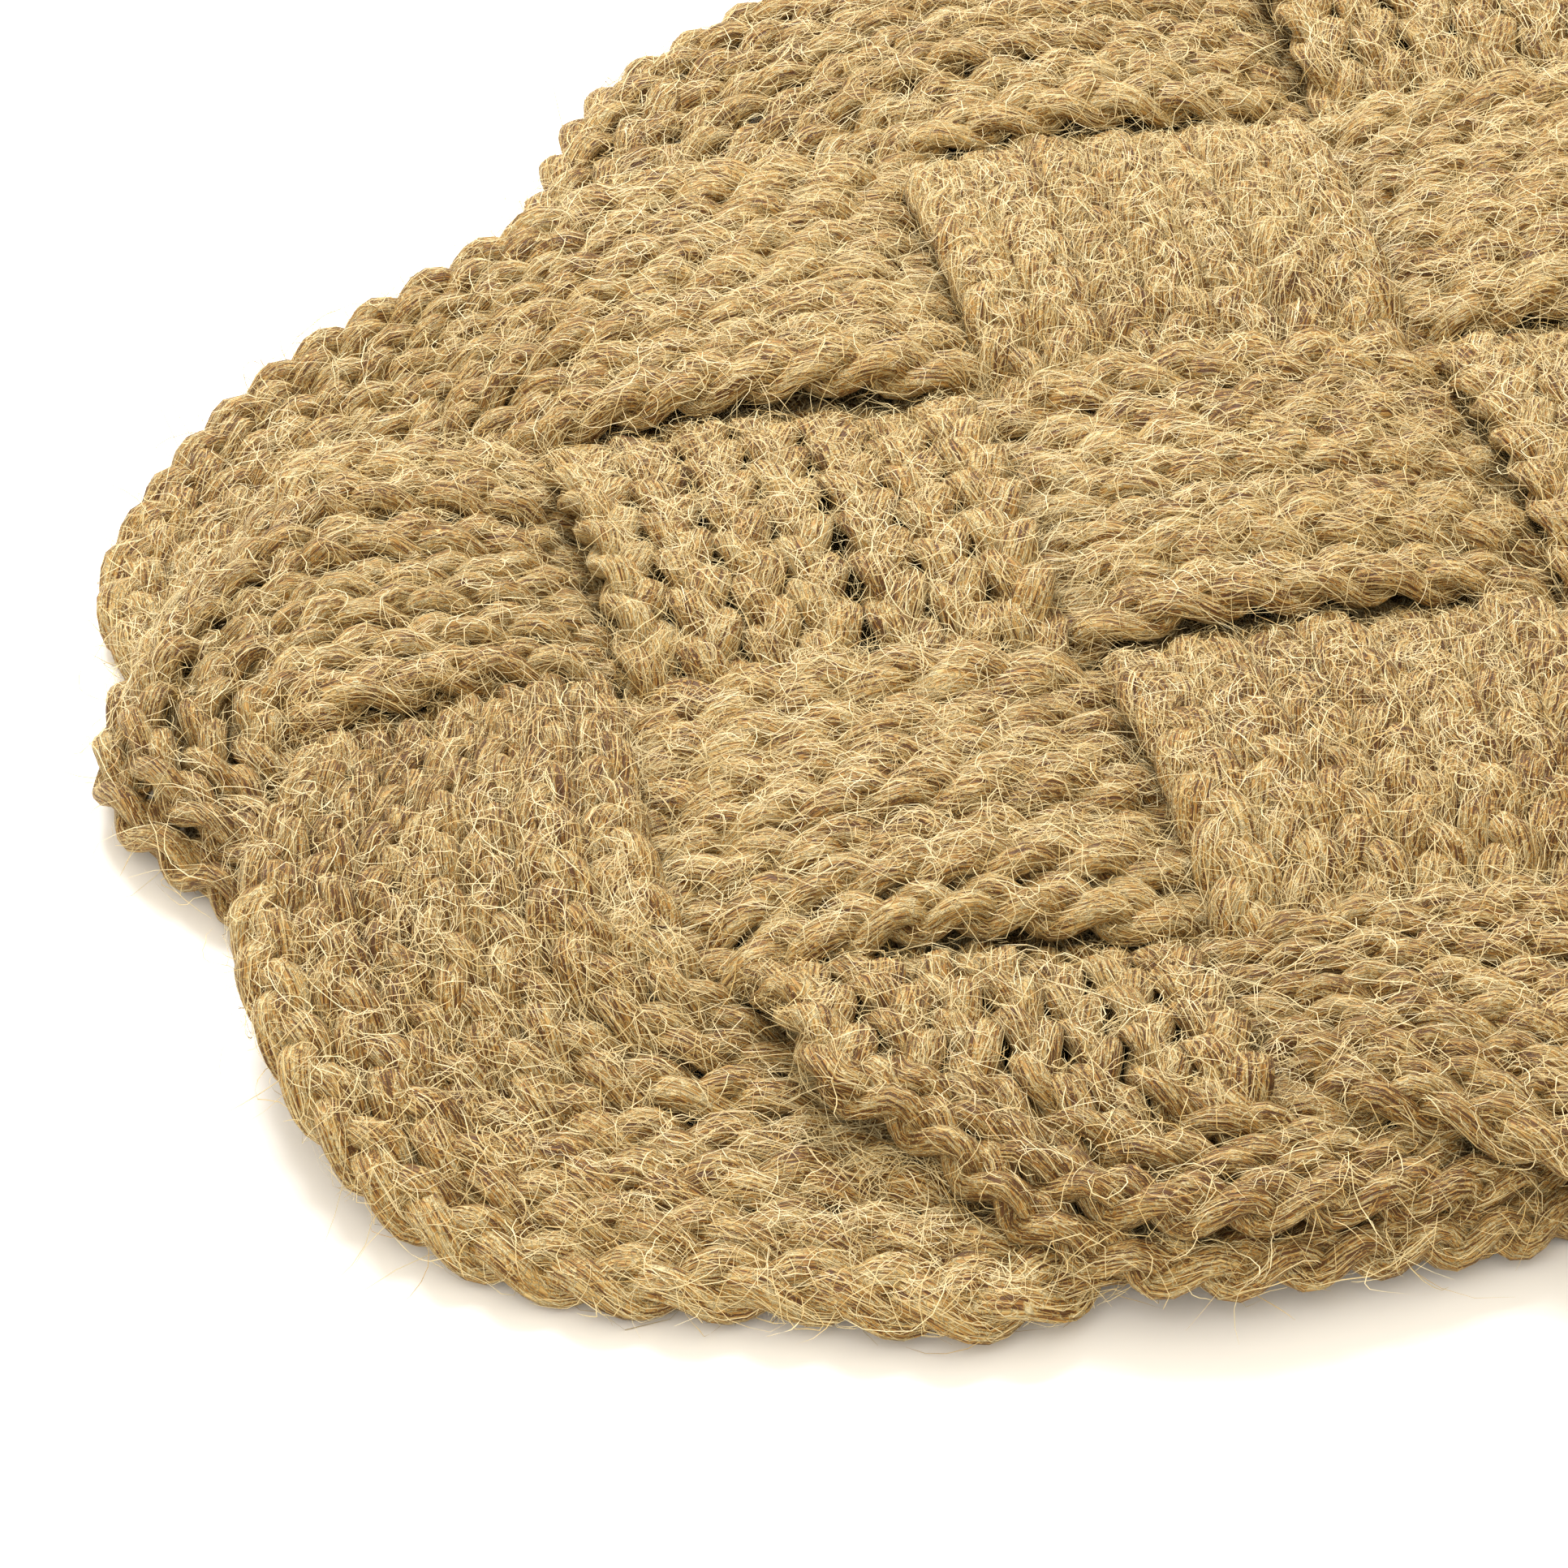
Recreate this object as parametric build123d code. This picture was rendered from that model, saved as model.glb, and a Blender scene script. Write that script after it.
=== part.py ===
"""Plaited door mat: seven braided cords run side by side through one flat rectangular plait.

The seven cords make a band. The band is one closed loop that crosses itself twenty-two times,
over and under by turns, and turns back at twelve lobes round the edge of the mat.
The plait's own grid lies at 45 degrees to the mat, with one band width to a grid step.
Each cord is drawn as the round core of its braid. Its two ends meet under a crossing.
"""
from build123d import *

import os
from math import cos, radians, sqrt, tan

os.makedirs("parts", exist_ok=True)

# Driving dimensions, mm
CORDS = 7
BAND_PITCH = 112.0  # from one band to the next, across the weave
CORD_PITCH = 15.0  # from one cord to the next inside a band
CORD_DIAMETER = 10.0
MAT_THICKNESS = 30.0
FLAT_DEPTH = 0.4  # how far the lowest runs are pressed flat, so that the mat rests on a plane
RAMP_HALF = 12.0  # half the run in which a cord changes level between two crossings

# A lobe with a quarter turn: the radius of its middle cord, and how fast the radius grows outwards
BIGHT_RADIUS = 0.815 * BAND_PITCH
BIGHT_SPREAD = 1.35
BIGHT_SAG = 0.15  # height kept at the lobe's tip by each cord inside its middle one, of the full rise

# A lobe that turns right back round another band, at the mat's corners
HAIRPIN_REACH = 0.33 * BAND_PITCH  # its middle cord, from the middle of the band it wraps
HAIRPIN_PITCH = 0.05 * BAND_PITCH  # the cords bunch two deep here
HAIRPIN_UPPER = (1.0, 0.55)  # heights of the upper cords into and out of the tip, of the full rise
HAIRPIN_LOWER = (0.45, 0.0)
PINCH_SHIFT = -0.18 * BAND_PITCH  # the wrapped band closes up and moves in to make room
PINCH_RATIO = 0.68

# Twine
BINDING_LENGTH = 22.0
BINDING_WALL = 1.3
STITCH_DIAMETER = 2.0
STITCH_BEND = 2.5
END_GAP = 0.4  # between the two ends of a cord

# Each corner of a cord's route is rounded by this share of the shorter run beside it
ROUNDED_SHARE = 0.45
LARGEST_RADIUS = 200.0

# The band's straight legs in grid steps, first and last crossing of each, in order round the loop
LEGS = [
    ((-1, 0), (-1, 1)),
    ((0, 2), (1, 2)),
    ((2, 1), (2, -3)),
    ((3, -3), (3, 0)),
    ((2, 1), (-1, 1)),
    ((-1, 0), (3, 0)),
    ((4, -1), (4, -2)),
    ((3, -3), (2, -3)),
    ((1, -2), (1, 2)),
    ((0, 2), (0, -1)),
    ((1, -2), (4, -2)),
    ((4, -1), (0, -1)),
]
GRID_CENTRE = (1.5, -0.5)
# The leg and the crossing where each cord's ends meet, always under the other band
END_PLACES = [(5, (0, 0)), (5, (2, 0)), (4, (1, 1)), (8, (1, 0)), (9, (0, 1)), (3, (3, -2)), (2, (2, -1))]

RADIUS = CORD_DIAMETER / 2
LOW = RADIUS - FLAT_DEPTH
RISE = MAT_THICKNESS - RADIUS - LOW


def place(grid, level):
    """A point of the mat from its place on the plait's grid, in mm along the two bands."""
    across = grid[0] - GRID_CENTRE[0] * BAND_PITCH
    along = grid[1] - GRID_CENTRE[1] * BAND_PITCH
    return Vector((across - along) / sqrt(2), -(across + along) / sqrt(2), LOW + RISE * level)


def shift(start, *moves):
    """The grid place reached from a start by moves of (direction, distance)."""
    return tuple(start[n] + sum(way[n] * distance for way, distance in moves) for n in (0, 1))


def heading(leg):
    """The unit step from a leg's first crossing towards its last."""
    (a, b), (c, d) = leg
    return ((c > a) - (c < a), (d > b) - (d < b))


def crossings(leg):
    """The crossings on a leg, in order."""
    step = heading(leg)
    spots = [leg[0]]
    while spots[-1] != leg[1]:
        spots.append((spots[-1][0] + step[0], spots[-1][1] + step[1]))
    return spots


def level_at(spot, way):
    """1 where a band that runs this way passes over a crossing, 0 where it passes under."""
    first_family_over = (spot[0] + spot[1]) % 2 == 0
    return int(first_family_over == (way[1] != 0))


def scaled(spot):
    """A crossing's place in mm on the grid."""
    return (spot[0] * BAND_PITCH, spot[1] * BAND_PITCH)


def hairpin_tips():
    """The places where a band is wrapped by a hairpin lobe, with the way that the lobe points."""
    tips = {}
    for leg, following in zip(LEGS, LEGS[1:] + LEGS[:1]):
        way = heading(leg)
        if heading(following) == (-way[0], -way[1]):
            last, first = leg[1], following[0]
            tips[((last[0] + first[0]) / 2, (last[1] + first[1]) / 2)] = way
    return tips


TIPS = hairpin_tips()


def bight_points(last, way, next_way, outward, levels):
    """Three corners that a quarter-turn lobe rounds, for the cord that far outside the middle one."""
    radius = BIGHT_RADIUS + BIGHT_SPREAD * outward
    corner = shift(scaled(last), (way, BAND_PITCH + outward), (next_way, -outward))
    near = radius * (1 - tan(radians(15)))
    beyond = radius / cos(radians(15)) / sqrt(2)
    tip_level = BIGHT_SAG * max(0, -outward / CORD_PITCH)
    return [
        place(shift(corner, (way, -near)), levels[0]),
        place(shift(corner, (way, beyond - radius), (next_way, radius - beyond)), tip_level),
        place(shift(corner, (next_way, near)), levels[1]),
    ]


def hairpin_points(last, first, way, outward, levels):
    """Four corners that a hairpin lobe rounds, for the cord that far outside the middle one."""
    steps = round(outward / CORD_PITCH)
    side = (first[0] - last[0], first[1] - last[1])
    middle = shift(scaled(last), (side, BAND_PITCH / 2))
    radius = BAND_PITCH / 2 + outward
    reach = HAIRPIN_REACH + HAIRPIN_PITCH * steps
    near = reach - radius * (1 - tan(radians(22.5)))
    half = radius * tan(radians(22.5))
    tips = HAIRPIN_UPPER if steps % 2 == 0 else HAIRPIN_LOWER
    if levels[1] > levels[0]:
        tips = tips[::-1]
    return [
        place(shift(middle, (way, near), (side, -radius)), levels[0]),
        place(shift(middle, (way, reach), (side, -half)), tips[0]),
        place(shift(middle, (way, reach), (side, half)), tips[1]),
        place(shift(middle, (way, near), (side, radius)), levels[1]),
    ]


def pinched(offset, way, tip_way):
    """The offset of a cord where a hairpin lobe squeezes its band, measured to the left of its way."""
    left = (-way[1], way[0])
    sense = left[0] * tip_way[0] + left[1] * tip_way[1]
    return sense * (PINCH_SHIFT + PINCH_RATIO * sense * offset)


def corner_radius(before, corner, after):
    """The largest radius that a corner of a route has room for."""
    half_turn = radians((corner - before).get_angle(after - corner) / 2)
    run = min((corner - before).length, (after - corner).length)
    return min(ROUNDED_SHARE * run / tan(half_turn), LARGEST_RADIUS)


def rounded_middle(before, corner, after):
    """The point where a route passes the middle of a rounded corner."""
    half_turn = radians((corner - before).get_angle(after - corner) / 2)
    inwards = ((after - corner).normalized() + (before - corner).normalized()).normalized()
    return corner + inwards * corner_radius(before, corner, after) * (1 / cos(half_turn) - 1)


def cord_route(number):
    """The corners of one cord's route from end to end, and the tips where its lobes are stitched."""
    offset = (number - (CORDS + 1) / 2) * CORD_PITCH
    points, tips, end = [], [], None
    for count, leg in enumerate(LEGS):
        way = heading(leg)
        left = (-way[1], way[0])
        spots = crossings(leg)
        levels = [level_at(spot, way) for spot in spots]
        squeezed = False
        for n, spot in enumerate(spots):
            centre = shift(scaled(spot), (left, offset))
            between = (spot[0] + way[0] / 2, spot[1] + way[1] / 2)
            tip_way = TIPS.get(between) if spot != leg[1] else None
            if (count, spot) == END_PLACES[number - 1]:
                end = len(points), centre, way
            elif squeezed or tip_way:
                points.append(place(centre, levels[n]))
            squeezed = bool(tip_way)
            if spot != leg[1]:
                here = pinched(offset, way, tip_way) if tip_way else offset
                edge = shift(scaled(between), (left, here))
                points.append(place(shift(edge, (way, -RAMP_HALF)), levels[n]))
                points.append(place(shift(edge, (way, RAMP_HALF)), levels[n + 1]))

        following = LEGS[(count + 1) % len(LEGS)]
        next_way = heading(following)
        turn_levels = (levels[-1], level_at(following[0], next_way))
        sideways = (following[0][0] - leg[1][0], following[0][1] - leg[1][1])
        turns_left = way[0] * sideways[1] - way[1] * sideways[0] > 0
        outward = -offset if turns_left else offset
        if next_way == (-way[0], -way[1]):
            lobe = hairpin_points(leg[1], following[0], way, outward, turn_levels)
            tips.append((lobe[1] + lobe[2]) / 2)
        else:
            lobe = bight_points(leg[1], way, next_way, outward, turn_levels)
            tips.append(rounded_middle(*lobe))
        points.extend(lobe)

    index, centre, way = end
    start = place(shift(centre, (way, END_GAP / 2)), 0)
    finish = place(shift(centre, (way, -END_GAP / 2)), 0)
    return [start] + points[index:] + points[:index] + [finish], tips


def swept(points, radii, diameter):
    """A round tube along straight runs joined by tangent arcs."""
    path = FilletPolyline(*points, radius=radii)
    section = Plane(origin=points[0], z_dir=points[1] - points[0]) * Circle(diameter / 2)
    return sweep(section, path=path)


def cord_tube(points):
    """One cord as a plain round tube, with its largest possible bends."""
    radii = [corner_radius(*corner) for corner in zip(points, points[1:], points[2:])]
    print("  smallest bend", round(min(radii), 1), "of", len(radii))
    return swept(points, radii, CORD_DIAMETER)


def end_binding(points):
    """The twine sleeve that holds a cord's two ends together, sunk into the cord."""
    middle = (points[0] + points[-1]) / 2
    across = Plane(origin=middle, z_dir=points[1] - points[0])
    ring = Circle(RADIUS) - Circle(RADIUS - BINDING_WALL)
    return extrude(across * ring, BINDING_LENGTH / 2, both=True)


def lobe_stitch(tips):
    """The twine through the heart of every cord at the tip of one lobe."""
    bends = [
        point
        for before, point, after in zip(tips, tips[1:], tips[2:])
        if (point - before).get_angle(after - point) > 1
    ]
    return swept([tips[0], *bends, tips[-1]], [STITCH_BEND] * len(bends), STITCH_DIAMETER)


routes = [cord_route(number) for number in range(1, CORDS + 1)]
below = Box(2000, 2000, 20, align=(Align.CENTER, Align.CENTER, Align.MAX))

stitches = []
for lobe in range(len(LEGS)):
    stitches.append(lobe_stitch([tips[lobe] for points, tips in routes]))
    export_step(stitches[-1], f"parts/lobe_stitch_{lobe + 1:02d}.step")

for number, (points, tips) in enumerate(routes, start=1):
    print("cord", number)
    binding = end_binding(points)
    tube = cord_tube(points) - binding - below
    for stitch in stitches:
        tube -= stitch
    longest = tube.solids().sort_by(SortBy.VOLUME)[-1]
    export_step(longest, f"parts/braided_cord_{number}.step")
    export_step(binding - below, f"parts/end_binding_{number}.step")
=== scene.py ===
"""The looks of a plaited door mat: seven loose three-strand braids of golden natural fibre.

Each braid is built from three fibre strands that follow the mat's plait, with fine hairs over
them, husk flecks, twine bindings at the cords' ends and twine stitches at the lobes.
Lengths are in metres.
"""

from math import cos, pi, radians, sin, sqrt, tan

import bpy
import numpy as np
from mathutils import Matrix, Vector
from mathutils.kdtree import KDTree


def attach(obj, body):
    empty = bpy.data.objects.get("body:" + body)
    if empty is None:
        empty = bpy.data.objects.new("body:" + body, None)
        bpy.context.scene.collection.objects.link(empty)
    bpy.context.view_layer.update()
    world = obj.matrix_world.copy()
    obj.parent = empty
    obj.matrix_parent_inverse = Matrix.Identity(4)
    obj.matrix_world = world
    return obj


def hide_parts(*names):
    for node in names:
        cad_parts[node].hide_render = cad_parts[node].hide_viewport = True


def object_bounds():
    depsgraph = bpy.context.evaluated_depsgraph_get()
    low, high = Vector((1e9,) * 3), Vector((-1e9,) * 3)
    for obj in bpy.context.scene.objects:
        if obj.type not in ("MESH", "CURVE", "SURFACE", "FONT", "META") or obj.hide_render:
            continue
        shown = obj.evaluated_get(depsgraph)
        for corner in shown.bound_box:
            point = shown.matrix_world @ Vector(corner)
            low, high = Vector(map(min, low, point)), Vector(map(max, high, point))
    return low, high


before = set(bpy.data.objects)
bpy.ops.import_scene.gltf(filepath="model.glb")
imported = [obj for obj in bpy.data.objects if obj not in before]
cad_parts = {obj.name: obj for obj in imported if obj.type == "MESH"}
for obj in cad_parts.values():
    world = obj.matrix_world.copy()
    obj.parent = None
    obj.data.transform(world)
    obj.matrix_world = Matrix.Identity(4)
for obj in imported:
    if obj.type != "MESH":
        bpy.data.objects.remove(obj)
cad_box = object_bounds()
rng = np.random.default_rng(11)

# The plait, as the CAD model has it, with heights for braids that are thicker than their cores
CORDS = 7
BAND_PITCH = 0.112  # from one band to the next, across the weave
CORD_PITCH = 0.015  # from one cord to the next inside a band
LOW = 0.0062  # middle of a cord that lies on the floor
HIGH = 0.0245  # middle of a cord that lies over another band
RAMP_HALF = 0.012  # half the run in which a cord changes level between two crossings
PILLOW = 0.16  # extra height in the middle of a crossing, of the full rise
SHOULDER = 0.9  # height at a crossing's edges, of the full rise

# A lobe with a quarter turn: the radius of its middle cord, and how fast the radius grows outwards
BIGHT_RADIUS = 0.815 * BAND_PITCH
BIGHT_SPREAD = 1.35
BIGHT_SAG = 0.15  # height kept at the lobe's tip by each cord inside its middle one, of the full rise

# A lobe that turns right back round another band, at the mat's corners
HAIRPIN_REACH = 0.33 * BAND_PITCH  # its middle cord, from the middle of the band it wraps
HAIRPIN_PITCH = 0.05 * BAND_PITCH  # the cords bunch two deep here
HAIRPIN_UPPER = (1.0, 0.55)  # heights of the upper cords into and out of the tip, of the full rise
HAIRPIN_LOWER = (0.45, 0.0)
PINCH_SHIFT = -0.18 * BAND_PITCH  # the wrapped band closes up and moves in to make room
PINCH_RATIO = 0.68

# The band's straight legs in grid steps, first and last crossing of each, in order round the loop
LEGS = [
    ((-1, 0), (-1, 1)),
    ((0, 2), (1, 2)),
    ((2, 1), (2, -3)),
    ((3, -3), (3, 0)),
    ((2, 1), (-1, 1)),
    ((-1, 0), (3, 0)),
    ((4, -1), (4, -2)),
    ((3, -3), (2, -3)),
    ((1, -2), (1, 2)),
    ((0, 2), (0, -1)),
    ((1, -2), (4, -2)),
    ((4, -1), (0, -1)),
]
GRID_CENTRE = (1.5, -0.5)
# The leg and the crossing where each cord's ends meet, always under the other band
END_PLACES = [(5, (0, 0)), (5, (2, 0)), (4, (1, 1)), (8, (1, 0)), (9, (0, 1)), (3, (3, -2)), (2, (2, -1))]

# Where the hand-made plait is drawn in or bulges: (place, move, reach)
PULLS = [
    ((-0.345, 0.115), (0.012, -0.005), 0.032),
    ((-0.095, 0.242), (-0.006, -0.009), 0.035),
    ((0.005, 0.255), (0.003, 0.009), 0.030),
    ((-0.385, -0.072), (0.008, 0.002), 0.030),
    ((-0.305, -0.155), (0.010, 0.007), 0.032),
    ((-0.246, 0.098), (0.010, 0.007), 0.030),
    ((-0.325, -0.045), (0.020, 0.001), 0.035),
    ((-0.385, 0.075), (0.005, -0.003), 0.030),
    ((-0.316, 0.166), (-0.003, 0.004), 0.022),
]

# Where a lobe packs tight and its upper and lower cords come closer: (place, share, reach)
PRESSED = [
    ((-0.250, 0.115), 0.50, 0.032),
    ((-0.335, -0.065), 0.35, 0.035),
]

# The braid
SPLINE_STEPS = 12  # points of a cord's smooth line for each corner of its route
STEP = 0.0028  # along a cord, between two rings of a strand
BRAID_PERIOD = 0.050  # in which each strand crosses over and back once
SWING = 0.0043  # of a strand to each side
LIFT = 0.0028  # of a strand up and down
PRESSED_LIFT = 0.9  # how much more it moves up and down as its braid is pressed narrower
STRAND_WIDTH = 0.0049  # half of it
STRAND_DEPTH = 0.0030  # half of it
RING_POINTS = 14
# Soft bulges round a strand: (how many, depth, random wave)
STRAND_LOBES = ((3, 0.06, (0.03, 1.2)), (5, 0.045, (0.02, 1.2)))
FIBRE_TURN = 0.12  # in which the fibres twist once round their strand
FIBRE_RADIUS = 3.7  # mm, of a strand in the coordinates of its fibre grain
TIGHTEST, LOOSEST = 0.65, 1.18  # a braid's width where it is pressed and where it has room
SQUEEZE_RUN = 0.008  # over which that width changes
ALONGSIDE = 0.9  # least cosine between the ways of two cords that lie side by side
END_WAIST = 0.014  # half the length over which a braid narrows into its end binding
WAIST_DEPTH = 0.5
FLOOR = 0.0003  # lowest height of anything on the mat

# Random waves along a braid: (length of a wave, standard size)
SIDEWAYS_WAVE = (0.035, 0.0004)
UPWARD_WAVE = (0.03, 0.0011)
ROLL_WAVE = (0.05, 0.14)  # of the braid about its line, in radians
WIDTH_WAVE = (0.02, 0.03)  # shares of the usual size
SHADE_WAVE = (0.12, 0.3)  # of a whole braid
PHASE_WAVE = (0.1, 0.5)  # of the strands' crossings, in radians
TWIST_WAVE = (0.02, 0.5)  # of a strand's bulges and fibres round it, in radians
SWIRL_WAVE = (0.008, 0.12)  # of its fibres alone, in radians
TONE_WAVE = (0.04, 0.5)  # of one strand
SHADE_SPREAD = 0.25  # from one braid to another

# Fibres that lie along the strands. A gamma spread is its shape and its scale
LYING_HAIRS = 10000  # on each cord
LYING_ROWS = 5  # points along each of them
LYING_LENGTHS = (0.006, 0.026)
LYING_SLOPE = 32  # standard turn about the strand, radians to a metre, beside the strand's own twist
LYING_WAVE = 0.3  # standard size of their waves about the strand, radians
LYING_WAVES = (0.5, 1.2)  # how many along each of them
LYING_BOW = (1.4, 0.0004)  # gamma spread of the height to which they bow up
LYING_LIFT = 0.0001

# Fibres that curl over the strands
CURLY_HAIRS = 7500
CURLY_ROWS = 9
CURLY_LENGTH = (3.0, 0.0072)  # gamma spread
CURLY_LENGTHS = (0.008, 0.045)  # shortest and longest
CURLY_COURSE = 0.8  # standard angle to the braid, radians
CURL = 200  # standard turn, radians to a metre
CURLY_JITTER = 0.25  # standard turn from one row to the next, radians
CURLY_MARGIN = 0.02  # from a cord's ends
BRIDGE_EVERY = 3  # one in so many lies across to the neighbouring braids
BRIDGE_REACH = 0.55  # how far from the middle line such a one starts, in cord pitches
SIDE_REACH, OUTER_REACH = 0.5, 0.95  # the same for the others, on inner and outermost cords
CURLY_BELOW = 0.12  # share that lies on the braid's underside
CURLY_BOW = (1.3, 0.0007)
CURLY_LIFT = (0.0002, 0.00015)  # mean and standard height over the strands
FACING_SPREAD = 0.3  # how unevenly they face outwards
BRAID_TOP = 0.0056  # height of a braid's ridges over its middle line
VALLEY = 0.0026  # depth between the ridges of neighbouring braids
DEEPEST = 0.0042  # how far under the ridges a fibre can dip
FLAT_HALF = 0.004  # half the width of a braid's flat top
SIDE_RADIUS = 0.0046  # how far its round side stands out from that
SIDE_ARC = 0.0048  # path length to a radian round the side

# Fibres that stand off
STRAY_HAIRS = 3000
STRAY_ROWS = 6
STRAY_LENGTH = (3.0, 0.0055)
STRAY_LENGTHS = (0.006, 0.04)
STRAY_ROOT = -0.0003  # height of their roots over the strand
STRAY_RISE = (0.05, 0.7)  # outward share of the way in which they start
STRAY_SPREAD = 0.4
STRAY_CURL = (0.1, 0.8)
STRAY_TOP = 0.007  # farthest over the CAD model's top
STRAY_DAMPING, STRAY_FALL = 0.85, 0.04  # how a rising hair flattens out and sinks, from row to row

# All loose fibres
HAIR_RADII = (0.00006, 0.00013)
STRAY_RADII = (0.00006, 0.00012)
HAIR_TONES = (2.4, 1.2)  # beta spread
STRAY_TONES = (3.0, 1.0)
HAIR_REACH = Vector((0.016, 0.016, 0.009))  # farthest that a hair stands out of the CAD model's box
HAIR_MARGINS = (0.015, 0.05)  # from a cord's start and end
HIDDEN_SHARE = 0.12  # chance of a hair where the braid's underside hides it
TAPER = ((0, 0.25, 0.7, 1), (0.5, 1, 0.9, 0.25))  # a hair's thickness along it
GRAIN_LENGTH = 20  # mm of fibre grain along a hair
STRAND_GRAIN, HAIR_GRAIN = 5000, 4000  # mm, within which each starts at random

# Husk flecks
HUSK_FLECKS = 5
FLECK_ROWS, FLECK_COLUMNS = 7, 5
FLECK_LENGTHS = (0.004, 0.009)
FLECK_WIDTHS = (0.15, 0.35)  # half of one, in radians round the strand
FLECK_SKEW = 0.4
FLECK_LIFT, FLECK_CURL = 0.0005, 0.0004  # height of its middle line, and of its edges over that

# Twine
BINDING_LENGTH = 0.022
BINDING_TURNS = 12
BINDING_RADIUS = 0.0050
TWINE_RADIUS = 0.0009
TWINE_POINTS = 18  # for each turn round its line
TWINE_TWIST = 5  # mm in which its own fibres turn once
TWINE_TONE = -0.8  # darker than the braids
STITCH_PLY = 0.0007
STITCH_TURN = 0.006

# The view
AZIMUTH = -55.678
ELEVATION = 36.137
ROLL = -1.039
DISTANCE = 1.491
TARGET = (-0.234, 0.034, 0.015)
LENS = 151.06
FLOOR_HALF = 6  # half the side of the floor in the picture


# ---------------------------------------------------------------- the plait's routes

def place(grid, level):
    """A point of the mat from its place on the plait's grid and its height between floor and top."""
    across = grid[0] - GRID_CENTRE[0] * BAND_PITCH
    along = grid[1] - GRID_CENTRE[1] * BAND_PITCH
    return ((across - along) / sqrt(2), -(across + along) / sqrt(2), LOW + (HIGH - LOW) * level)


def shift(start, *moves):
    """The grid place reached from a start by moves of (direction, distance)."""
    return tuple(start[n] + sum(way[n] * distance for way, distance in moves) for n in (0, 1))


def heading(leg):
    """The unit step from a leg's first crossing towards its last."""
    (a, b), (c, d) = leg
    return ((c > a) - (c < a), (d > b) - (d < b))


def crossings(leg):
    """The crossings on a leg, in order."""
    step = heading(leg)
    spots = [leg[0]]
    while spots[-1] != leg[1]:
        spots.append((spots[-1][0] + step[0], spots[-1][1] + step[1]))
    return spots


def level_at(spot, way):
    """1 where a band that runs this way passes over a crossing, 0 where it passes under."""
    return int(((spot[0] + spot[1]) % 2 == 0) == (way[1] != 0))


def scaled(spot):
    """A crossing's place in metres on the grid."""
    return (spot[0] * BAND_PITCH, spot[1] * BAND_PITCH)


def hairpin_tips():
    """The places where a band is wrapped by a hairpin lobe, with the way that the lobe points."""
    tips = {}
    for leg, following in zip(LEGS, LEGS[1:] + LEGS[:1]):
        way = heading(leg)
        if heading(following) == (-way[0], -way[1]):
            last, first = leg[1], following[0]
            tips[((last[0] + first[0]) / 2, (last[1] + first[1]) / 2)] = way
    return tips


TIPS = hairpin_tips()


def bight_points(last, way, next_way, outward, levels):
    """Three corners that a quarter-turn lobe rounds, for the cord that far outside the middle one."""
    radius = BIGHT_RADIUS + BIGHT_SPREAD * outward
    corner = shift(scaled(last), (way, BAND_PITCH + outward), (next_way, -outward))
    near = radius * (1 - tan(radians(15)))
    beyond = radius / cos(radians(15)) / sqrt(2)
    tip_level = BIGHT_SAG * max(0, -outward / CORD_PITCH)
    return [
        place(shift(corner, (way, -near)), levels[0] * SHOULDER),
        place(shift(corner, (way, beyond - radius), (next_way, radius - beyond)), tip_level),
        place(shift(corner, (next_way, near)), levels[1] * SHOULDER),
    ]


def hairpin_points(last, first, way, outward, levels):
    """Four corners that a hairpin lobe rounds, for the cord that far outside the middle one."""
    steps = round(outward / CORD_PITCH)
    side = (first[0] - last[0], first[1] - last[1])
    middle = shift(scaled(last), (side, BAND_PITCH / 2))
    radius = BAND_PITCH / 2 + outward
    reach = HAIRPIN_REACH + HAIRPIN_PITCH * steps
    near = reach - radius * (1 - tan(radians(22.5)))
    half = radius * tan(radians(22.5))
    tips = HAIRPIN_UPPER if steps % 2 == 0 else HAIRPIN_LOWER
    if levels[1] > levels[0]:
        tips = tips[::-1]
    return [
        place(shift(middle, (way, near), (side, -radius)), levels[0]),
        place(shift(middle, (way, reach), (side, -half)), tips[0]),
        place(shift(middle, (way, reach), (side, half)), tips[1]),
        place(shift(middle, (way, near), (side, radius)), levels[1]),
    ]


def pinched(offset, way, tip_way):
    """The offset of a cord where a hairpin lobe squeezes its band, measured to the left of its way."""
    left = (-way[1], way[0])
    sense = left[0] * tip_way[0] + left[1] * tip_way[1]
    return sense * (PINCH_SHIFT + PINCH_RATIO * sense * offset)


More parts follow.
